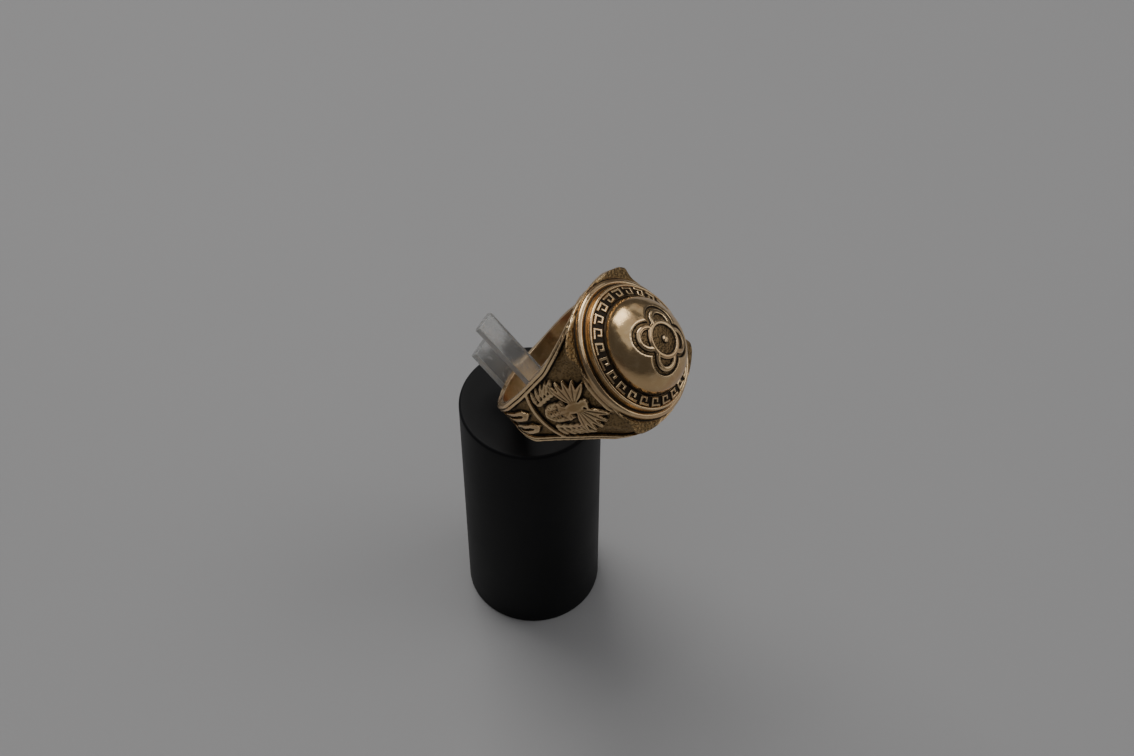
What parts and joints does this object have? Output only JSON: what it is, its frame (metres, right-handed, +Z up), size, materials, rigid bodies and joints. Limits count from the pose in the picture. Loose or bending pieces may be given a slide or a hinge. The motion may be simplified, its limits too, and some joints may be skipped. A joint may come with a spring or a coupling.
{
  "type": "class ring on display stand",
  "caption": "Domed class ring with a meander band and relief side panels, leaning in a clear clip on a plain black cylinder stand.",
  "frame": {"origin": "centre of the stand's foot, on the surface it stands on", "axes": "+Z up; +X towards the side that the dome faces; the ring's finger axis and dome axis lie in the XZ plane, and Y runs through the hoop's two sides"},
  "size_m": [0.0309, 0.019, 0.0654],
  "materials": {
    "stand_black": "satin black plastic",
    "clip_clear": "clear plastic, polished faces and cut ends",
    "ring_gold": "worn yellow gold with darkened stippled recesses",
    "dome_gold": "worn polished yellow gold with darkened stippled recesses"
  },
  "bodies": {
    "root": {"stand_post": "stand_black", "ring_clip": "clip_clear", "ring_body": "ring_gold", "crest_dome": "dome_gold"}
  },
  "joints": []
}
